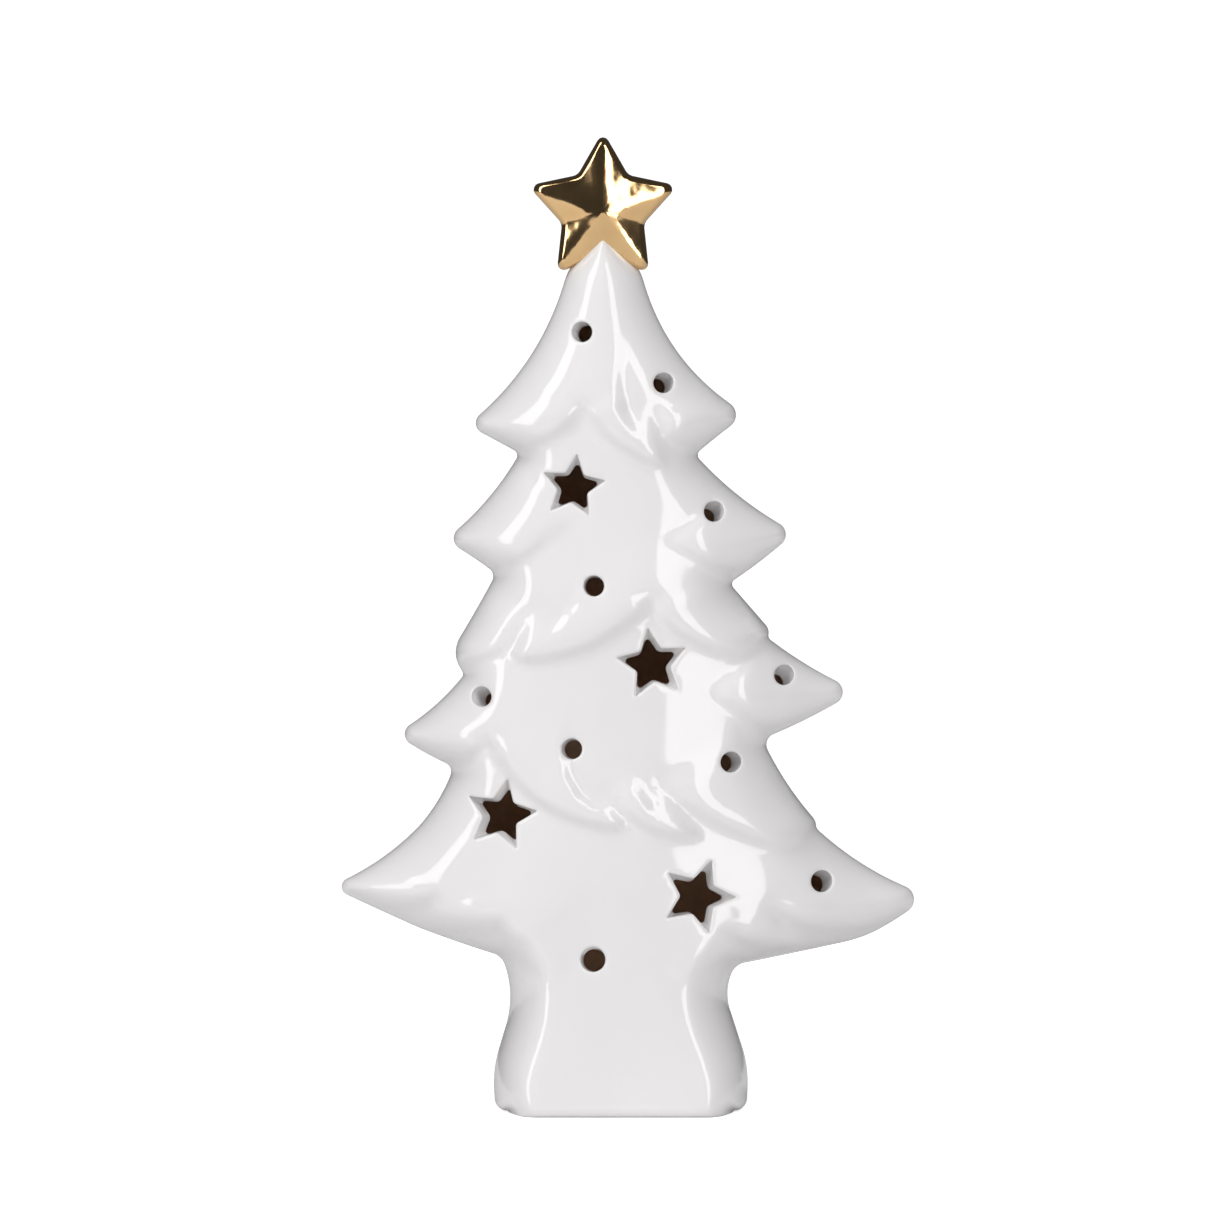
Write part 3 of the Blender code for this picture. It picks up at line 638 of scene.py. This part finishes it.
def make_mesh(name, points, faces):
    """A mesh object at the origin from points in millimetres and rows of corners."""
    faces = np.asarray(faces)
    mesh = bpy.data.meshes.new(name)
    mesh.vertices.add(len(points))
    mesh.vertices.foreach_set("co", (np.asarray(points) * MM).astype(np.float32).ravel())
    mesh.loops.add(faces.size)
    mesh.loops.foreach_set("vertex_index", faces.ravel().astype(np.int32))
    mesh.polygons.add(len(faces))
    starts = np.arange(0, faces.size, faces.shape[1], dtype=np.int32)
    mesh.polygons.foreach_set("loop_start", starts)
    mesh.update(calc_edges=True)
    piece = bpy.data.objects.new(name, mesh)
    bpy.context.scene.collection.objects.link(piece)
    return piece


def weld(piece, distance, sharp):
    """Merges points that coincide, drops what has no area, shades the piece smooth and
    keeps edges sharper than an angle in degrees."""
    mesh = piece.data
    body = bmesh.new()
    body.from_mesh(mesh)
    bmesh.ops.remove_doubles(body, verts=body.verts[:], dist=distance)
    bmesh.ops.dissolve_degenerate(body, dist=1e-7, edges=body.edges[:])
    body.to_mesh(mesh)
    body.free()
    mesh.polygons.foreach_set("use_smooth", np.ones(len(mesh.polygons), bool))
    mesh.set_sharp_from_angle(angle=math.radians(sharp))
    mesh.update()


tree = make_mesh("tree_casting", np.concatenate(places), np.concatenate(corners))
tree.data.polygons.foreach_set("material_index", np.concatenate(kinds).astype(np.int32))
weld(tree, 4e-6, 52.0)


def node(tree_, kind, **settings):
    """A shader node with settings given by the names of its inputs or properties."""
    made = tree_.nodes.new(kind)
    for key, value in settings.items():
        if key in made.inputs:
            made.inputs[key].default_value = value
        else:
            setattr(made, key, value)
    return made


def new_finish(name):
    """A material with its shader, and the piece's own coordinates."""
    finish = bpy.data.materials.new(name)
    finish.use_nodes = True
    shader = finish.node_tree.nodes["Principled BSDF"]
    coordinates = finish.node_tree.nodes.new("ShaderNodeTexCoord")
    return finish, finish.node_tree, shader, coordinates.outputs["Object"]


def noise_of(nodes, where, scale, detail, roughness=0.5, stretch=None):
    """Noise over the piece, stretched along its axes if asked."""
    if stretch:
        mapping = node(nodes, "ShaderNodeMapping", Scale=stretch)
        nodes.links.new(where, mapping.inputs["Vector"])
        where = mapping.outputs["Vector"]
    noise = node(nodes, "ShaderNodeTexNoise", Scale=scale, Detail=detail, Roughness=roughness)
    nodes.links.new(where, noise.inputs["Vector"])
    return noise.outputs["Fac"]


def coloured(nodes, shader, value, dark, light):
    """Colours the shader from dark to light over the middle of a value's range."""
    ramp = nodes.nodes.new("ShaderNodeValToRGB")
    for element, place, colour in zip(ramp.color_ramp.elements, (0.3, 0.7), (dark, light)):
        element.position = place
        element.color = (*colour, 1.0)
    nodes.links.new(value, ramp.inputs["Fac"])
    nodes.links.new(ramp.outputs["Color"], shader.inputs["Base Color"])


def roughened(nodes, shader, value, low, high):
    """Roughens the shader from low to high over the middle of a value's range."""
    spread = node(nodes, "ShaderNodeMapRange")
    for key, number in (("From Min", 0.25), ("From Max", 0.75), ("To Min", low), ("To Max", high)):
        spread.inputs[key].default_value = number
    nodes.links.new(value, spread.inputs["Value"])
    nodes.links.new(spread.outputs["Result"], shader.inputs["Roughness"])


def bumped(nodes, shader, height, depth, strength=1.0, under=None):
    """Bumps the shader's surface by a height of so many metres."""
    bump = node(nodes, "ShaderNodeBump", Strength=strength, Distance=depth)
    nodes.links.new(height, bump.inputs["Height"])
    if under:
        nodes.links.new(under, bump.inputs["Normal"])
    nodes.links.new(bump.outputs["Normal"], shader.inputs["Normal"])
    return bump.outputs["Normal"]


# White tin glaze: glossy, with faint waves where it ran and a few pin-sized dimples.
glaze, nodes, shader, where = new_finish("white_glaze")
shader.inputs["IOR"].default_value = 1.5
cloud = noise_of(nodes, where, 26.0, 3.0)
coloured(nodes, shader, cloud, (0.80, 0.782, 0.785), (0.83, 0.815, 0.818))
roughened(nodes, shader, noise_of(nodes, where, 90.0, 2.0), 0.05, 0.10)
wave = noise_of(nodes, where, 40.0, 1.5, 0.4, (1.0, 1.0, 0.45))
under = bumped(nodes, shader, wave, 0.0004)
grain = noise_of(nodes, where, 900.0, 2.0)
bumped(nodes, shader, grain, 0.000006, 1.0, under)

# Bare biscuit inside: unglazed buff clay, brown in its own shade.
biscuit, nodes, shader, where = new_finish("brown_biscuit")
stain = noise_of(nodes, where, 60.0, 4.0)
coloured(nodes, shader, stain, (0.70, 0.47, 0.31), (0.78, 0.55, 0.38))
roughened(nodes, shader, stain, 0.75, 0.92)
bumped(nodes, shader, noise_of(nodes, where, 1400.0, 3.0), 0.00006)
tree.data.materials.append(glaze)
tree.data.materials.append(biscuit)
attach(tree, "tree")
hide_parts("tree_body")

# ---------------------------------------------------------------------------------------
# The star on the tip. It is cast with a ridge to each point and a valley to each notch,
# lustred in gold, and set astride the tip with its two lower points down the shoulders.
star_low, star_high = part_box("star_topper")
STAR_CENTRE = np.array([(star_low.x + star_high.x) / 2.0 / MM, 221.4])
STAR_REACH, STAR_NOTCH = 19.4, 10.6
STAR_EDGE, STAR_RIDGE = 4.6, 9.0

gold_loop = star_loop(STAR_REACH, STAR_NOTCH, 0.0, 2.7, 1.2)
turn = np.linspace(0.0, math.pi / 2.0, 7)
reach_in = np.concatenate([np.linspace(0.0, 0.88, 24), 0.88 + 0.12 * np.sin(turn[1:])])
fall_in = np.concatenate([np.zeros(24), 2.2 * (1.0 - np.cos(turn[1:]))])


def star_facets(spots):
    """Height of the star's front over a place: it falls evenly from the middle to the edge
    along every line outwards, whose length to the straight side of an arm is known from
    the arm's reach and notch; averaged over a small disc, which rounds every ridge."""
    angles = np.radians(np.arange(0.0, 360.0, 30.0))
    total = 0.0
    for size, weight in ((0.0, 0.6), (1.5, 1.2 / 12.0), (2.8, 1.2 / 12.0)):
        for angle in angles[:1] if size == 0.0 else angles:
            x = spots[..., 0] + size * math.cos(angle)
            z = spots[..., 1] + size * math.sin(angle)
            arm = math.radians(72.0)
            off = np.abs((np.arctan2(x, z) + arm / 2.0) % arm - arm / 2.0)
            side = STAR_REACH * STAR_NOTCH * math.sin(arm / 2.0) / (
                STAR_REACH * np.sin(off) + STAR_NOTCH * np.sin(arm / 2.0 - off))
            total = total + weight * (1.0 - np.hypot(x, z) / side)
    return (STAR_RIDGE - STAR_EDGE) * total / 3.0


def star_skin(loop, shares, falls):
    """Rings of the star: its outline drawn in to the centre by each share, at the height
    of the facets less how far the edge's rounding has fallen there, front and back."""
    flat = loop[None] * shares[:, None, None]
    deep = STAR_EDGE + star_facets(flat) - falls[:, None]
    half = np.stack([flat[..., 0], -deep, flat[..., 1]], axis=2)
    whole = np.concatenate([half, half[::-1] * (1.0, -1.0, 1.0)])
    return whole + (STAR_CENTRE[0], 0.0, STAR_CENTRE[1])


def grid_faces(rows, columns):
    """Four-cornered faces of a grid whose columns close on themselves."""
    row, column = np.meshgrid(np.arange(rows - 1), np.arange(columns), indexing="ij")
    here = (row * columns + column).ravel()
    there = (row * columns + (column + 1) % columns).ravel()
    return np.column_stack([here, there, there + columns, here + columns])


skin = star_skin(gold_loop, reach_in, fall_in)
star = make_mesh("gold_star", skin.reshape(-1, 3), grid_faces(*skin.shape[:2])[:, ::-1])
weld(star, 2e-6, 60.0)
gold, nodes, shader, where = new_finish("gold_lustre")
shader.inputs["Metallic"].default_value = 1.0
cloud = noise_of(nodes, where, 120.0, 3.0)
coloured(nodes, shader, cloud, (0.78, 0.51, 0.25), (0.86, 0.58, 0.29))
roughened(nodes, shader, noise_of(nodes, where, 300.0, 2.0), 0.08, 0.16)
bumped(nodes, shader, noise_of(nodes, where, 130.0, 2.0), 0.00025)
star.data.materials.append(gold)
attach(star, "tree")
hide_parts("star_topper")

# ---------------------------------------------------------------------------------------
# The tealight's cup, pressed from thin aluminium: a flat foot with a coined ring, a
# fluted wall that flares a little, and an edge rolled outwards.
cup_low, cup_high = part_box("tealight_cup")
CUP_FLUTES, FLUTE_DEPTH, FOIL = 36, 0.22, 0.35
CUP_FLARE, CUP_ROLL = 1.0, 0.45
seat = np.array([(cup_low.x + cup_high.x) / 2.0, (cup_low.y + cup_high.y) / 2.0, cup_low.z]) / MM
cup_height = (cup_high.z - cup_low.z) / MM
cup_reach = (cup_high.x - cup_low.x) / 2.0 / MM
around = np.linspace(0.0, 2.0 * math.pi, CUP_FLUTES * 8 + 1)[:-1]


def turned(profile, waves=None):
    """A profile of (reach, height) rows turned about the cup's axis over the angles of
    around. Waves, one a row, are how deep that row's flutes are: each adds its depth times
    the cosine of the flute count times the angle to the reach."""
    profile = np.array(profile, float)
    waves = np.zeros(len(profile)) if waves is None else np.array(waves, float)
    reach = profile[:, :1] + waves[:, None] * np.cos(CUP_FLUTES * around)[None]
    reach = np.maximum(reach, 0.0)
    skin = np.stack([reach * np.cos(around), reach * np.sin(around),
                     np.broadcast_to(profile[:, 1:], reach.shape)], axis=2)
    return skin + seat


wall_up = np.linspace(0.0, 1.0, 14)
wall_reach = cup_reach - 2.2 * CUP_ROLL - CUP_FLARE * (1.0 - wall_up)
wall_height = 0.9 + (cup_height - 2.0 - 0.9) * wall_up
wall_wave = FLUTE_DEPTH * np.sin(math.pi * wall_up) ** 0.4
roll = np.radians(np.linspace(180.0, -150.0, 14))
roll_reaches = cup_reach - CUP_ROLL + CUP_ROLL * np.cos(roll)
roll_heights = cup_height - CUP_ROLL + CUP_ROLL * np.sin(roll)
outside = ([(0.0, 0.25), (12.0, 0.25), (12.6, 0.0), (wall_reach[0] - 1.0, 0.0),
            (wall_reach[0] - 0.35, 0.2)]
           + list(zip(wall_reach, wall_height))
           + list(zip(roll_reaches[::-1], roll_heights[::-1])))
outer_wave = [0.0] * 5 + list(wall_wave) + [0.0] * 14
inside = (list(zip(wall_reach[::-1] - FOIL, wall_height[::-1]))
          + [(wall_reach[0] - 0.8, FOIL + 0.35), (wall_reach[0] - 1.4, FOIL + 0.15),
             (0.0, FOIL + 0.15)])
inner_wave = list(wall_wave[::-1]) + [0.0] * 3
skin = turned(outside + inside, outer_wave + inner_wave)
cup = make_mesh("cup", skin.reshape(-1, 3), grid_faces(*skin.shape[:2]))
weld(cup, 2e-6, 50.0)
foil, nodes, shader, where = new_finish("aluminium_foil")
shader.inputs["Metallic"].default_value = 1.0
brushed = noise_of(nodes, where, 400.0, 3.0, 0.6, (1.0, 1.0, 0.15))
coloured(nodes, shader, brushed, (0.72, 0.72, 0.74), (0.84, 0.84, 0.85))
roughened(nodes, shader, brushed, 0.22, 0.38)
bumped(nodes, shader, brushed, 0.00003)
cup.data.materials.append(foil)
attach(cup, "tealight")
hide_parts("tealight_cup")

# ---------------------------------------------------------------------------------------
# The wax: paraffin poured into the cup, sunk a little as it set, with a raised skin where
# it clings to the wick and to the wall, and a hollow under it for the wick's tab.
wax_low, wax_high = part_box("tealight_wax")
wax_floor, wax_top = (wax_low.z - cup_low.z) / MM, (wax_high.z - cup_low.z) / MM
wax_reach = (wax_high.x - wax_low.x) / 2.0 / MM
tab_low, tab_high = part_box("wick_tab")
tab_reach = (tab_high.x - tab_low.x) / 2.0 / MM
wick_low, wick_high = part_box("wick")
wick_reach = (wick_high.x - wick_low.x) / 2.0 / MM
bore = wick_reach + 0.25
tab_room = tab_high.z / MM - seat[2] + 0.3
share = np.linspace(0.0, 1.0, 26)
top_reach = bore + (wax_reach - 0.15 - bore) * share
sink = 0.75 * np.maximum(np.sin(math.pi * share), 0.0) ** 0.7
cling = 0.5 * np.exp(-(top_reach - bore) / 0.8)
wax_profile = ([(bore, tab_room)]
               + list(zip(top_reach, wax_top - 0.55 - sink + cling + 0.5 * share ** 12))
               + [(wax_reach, wax_top - 0.35), (wax_reach - 0.9, wax_floor + 0.4),
                  (wax_reach - 1.3, wax_floor), (tab_reach + 0.3, wax_floor),
                  (tab_reach + 0.3, wax_floor + 0.9), (2.0, wax_floor + 0.9),
                  (2.0, tab_room), (bore, tab_room)])
skin = turned(wax_profile)
wax = make_mesh("wax", skin.reshape(-1, 3), grid_faces(*skin.shape[:2])[:, ::-1])
weld(wax, 2e-6, 50.0)
paraffin, nodes, shader, where = new_finish("white_wax")
cloud = noise_of(nodes, where, 180.0, 4.0)
coloured(nodes, shader, cloud, (0.86, 0.84, 0.78), (0.92, 0.91, 0.87))
roughened(nodes, shader, cloud, 0.35, 0.5)
shader.inputs["Subsurface Weight"].default_value = 0.25
shader.inputs["Subsurface Radius"].default_value = (0.004, 0.003, 0.002)
bumped(nodes, shader, noise_of(nodes, where, 500.0, 3.0), 0.00008)
wax.data.materials.append(paraffin)
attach(wax, "candle")
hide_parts("tealight_wax")

# ---------------------------------------------------------------------------------------
# The wick: three waxed cotton strands plaited round each other and cut square on top.
# Each strand is a round section carried along a helix about the wick's axis.
STRAND_TURNS = 6.5
strand_reach = wick_reach * 0.52
wick_height = (wick_high.z - wick_low.z) / MM
along = np.linspace(0.0, 1.0, 90)
section = np.linspace(0.0, 2.0 * math.pi, 13)[:-1]


def strand(start):
    """A round tube about a helix: its middle stands half the wick's reach off the axis,
    and its ends close to a point."""
    angle = start + 2.0 * math.pi * STRAND_TURNS * along
    offset = wick_reach - strand_reach
    end = np.maximum(np.abs(2.0 * along - 1.0) * 60.0 - 59.0, 0.0)
    closed = np.sqrt(np.clip(1.0 - end ** 2, 0.0, 1.0)) * strand_reach
    tube = np.zeros((along.size, section.size, 3))
    tube[..., 0] = (offset * np.cos(angle))[:, None] + closed[:, None] * np.cos(section)
    tube[..., 1] = (offset * np.sin(angle))[:, None] + closed[:, None] * np.sin(section)
    tube[..., 2] = (wick_height * along)[:, None]
    return tube + (seat[0], seat[1], wick_low.z / MM)


plait = [strand(start) for start in (0.0, 2.0 * math.pi / 3.0, 4.0 * math.pi / 3.0)]
one = grid_faces(*plait[0].shape[:2])
wick = make_mesh("plaited_wick", np.concatenate([tube.reshape(-1, 3) for tube in plait]),
                 np.concatenate([one + number * plait[0].shape[0] * plait[0].shape[1]
                                 for number in range(3)]))
weld(wick, 1e-6, 60.0)
cotton, nodes, shader, where = new_finish("cotton_wick")
fibre = noise_of(nodes, where, 3000.0, 3.0, 0.6, (1.0, 1.0, 0.3))
coloured(nodes, shader, fibre, (0.74, 0.70, 0.60), (0.90, 0.88, 0.80))
roughened(nodes, shader, fibre, 0.75, 0.95)
bumped(nodes, shader, fibre, 0.0001)
wick.data.materials.append(cotton)
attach(wick, "candle")
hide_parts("wick")

# ---------------------------------------------------------------------------------------
# The tab: a tinned disc with a dished rim whose drawn collar is crimped on the wick.
tab_height = (tab_high.z - tab_low.z) / MM
tab_floor = (tab_low.z - cup_low.z) / MM
tab_profile = [(bore, 0.0), (tab_reach - 0.5, 0.0), (tab_reach - 0.1, 0.12), (tab_reach, 0.3),
               (tab_reach - 0.12, 0.45), (tab_reach - 0.6, 0.40), (2.6, 0.38), (1.9, 0.5),
               (1.62, 0.95), (1.58, tab_height - 0.25), (1.45, tab_height), (bore, tab_height),
               (bore, 0.0)]
skin = turned([(reach, height + tab_floor) for reach, height in tab_profile])[:, ::6]
tab = make_mesh("tab", skin.reshape(-1, 3), grid_faces(*skin.shape[:2]))
weld(tab, 2e-6, 45.0)
tin, nodes, shader, where = new_finish("tinned_steel")
shader.inputs["Metallic"].default_value = 1.0
bloom = noise_of(nodes, where, 700.0, 3.0)
coloured(nodes, shader, bloom, (0.52, 0.52, 0.52), (0.68, 0.68, 0.67))
roughened(nodes, shader, bloom, 0.28, 0.45)
bumped(nodes, shader, bloom, 0.00003)
tab.data.materials.append(tin)
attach(tab, "candle")
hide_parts("wick_tab")

# ---------------------------------------------------------------------------------------
# Lights, floor and camera: a white table, two tall soft boxes in front to the left and
# right that give the long highlights, and a wide one overhead.
bpy.context.scene.view_settings.view_transform = "Standard"
CAMERA_FAR, CAMERA_RISE = 4.0, math.radians(2.3)
FRAME_WIDTH, SENSOR = 0.2985, 36.0
AIM = Vector((-0.0049, 0.0, 0.1238))
LAMP_AIM = Vector((0.0, 0.0, 0.11))
camera_data = bpy.data.cameras.new("camera")
camera_data.sensor_width = SENSOR
camera_data.lens = SENSOR * CAMERA_FAR / FRAME_WIDTH
camera = bpy.data.objects.new("camera", camera_data)
back_to_camera = Vector((0.0, -math.cos(CAMERA_RISE), math.sin(CAMERA_RISE)))
camera.location = AIM + back_to_camera * CAMERA_FAR
camera.rotation_euler = (math.pi / 2.0 - CAMERA_RISE, 0.0, 0.0)
bpy.context.scene.collection.objects.link(camera)
bpy.context.scene.camera = camera


def soft_box(name, azimuth, rise, far, size, power):
    """A rectangular lamp that faces the middle of the tree from an azimuth to the right of
    the front, a rise above level and a distance, in degrees and metres."""
    data = bpy.data.lights.new(name, "AREA")
    data.shape = "RECTANGLE"
    data.size, data.size_y = size
    data.energy = power
    lamp = bpy.data.objects.new(name, data)
    azimuth, rise = math.radians(azimuth), math.radians(rise)
    towards = Vector((math.sin(azimuth) * math.cos(rise), -math.cos(azimuth) * math.cos(rise),
                      math.sin(rise)))
    lamp.location = towards * far + LAMP_AIM
    lamp.rotation_euler = towards.to_track_quat("Z", "Y").to_euler()
    bpy.context.scene.collection.objects.link(lamp)
    return lamp


soft_box("box_left", -56.0, 34.0, 1.5, (0.45, 2.2), 13.0)
soft_box("box_right", 28.0, 20.0, 1.5, (0.42, 1.7), 9.6)
overhead = soft_box("box_top", 0.0, 60.0, 2.0, (2.6, 2.0), 8.0)
overhead.visible_glossy = False


def lit_apart(nodes, target, diffuse, glossy, seen):
    """Gives a strength one value as a light, another in reflections and a third where
    the camera looks."""
    ray = nodes.nodes.new("ShaderNodeLightPath")
    unseen = node(nodes, "ShaderNodeMapRange")
    unseen.inputs["To Min"].default_value = diffuse
    unseen.inputs["To Max"].default_value = glossy
    glow = node(nodes, "ShaderNodeMapRange")
    glow.inputs["To Max"].default_value = seen
    nodes.links.new(ray.outputs["Is Glossy Ray"], unseen.inputs["Value"])
    nodes.links.new(unseen.outputs["Result"], glow.inputs["To Min"])
    nodes.links.new(ray.outputs["Is Camera Ray"], glow.inputs["Value"])
    nodes.links.new(glow.outputs["Result"], target)


world = bpy.data.worlds.new("studio")
world.use_nodes = True
backing = world.node_tree.nodes["Background"]
backing.inputs["Color"].default_value = (1.0, 1.0, 1.0, 1.0)
lit_apart(world.node_tree, backing.inputs["Strength"], 0.20, 0.05, 1.1)
bpy.context.scene.world = world

TABLE_CORNERS = [(-1000.0, -750.0, 0.0), (1000.0, -750.0, 0.0), (1000.0, 1250.0, 0.0),
                 (-1000.0, 1250.0, 0.0)]
table = make_mesh("table", TABLE_CORNERS, [(0, 1, 2, 3)])
paper, nodes, shader, where = new_finish("white_paper")
coloured(nodes, shader, noise_of(nodes, where, 3.0, 2.0), (0.93, 0.93, 0.93), (0.95, 0.95, 0.95))
shader.inputs["Roughness"].default_value = 0.9
shader.inputs["Emission Color"].default_value = (1.0, 1.0, 1.0, 1.0)
lit_apart(nodes, shader.inputs["Emission Strength"], 0.04, 0.0, 0.76)
table.data.materials.append(paper)
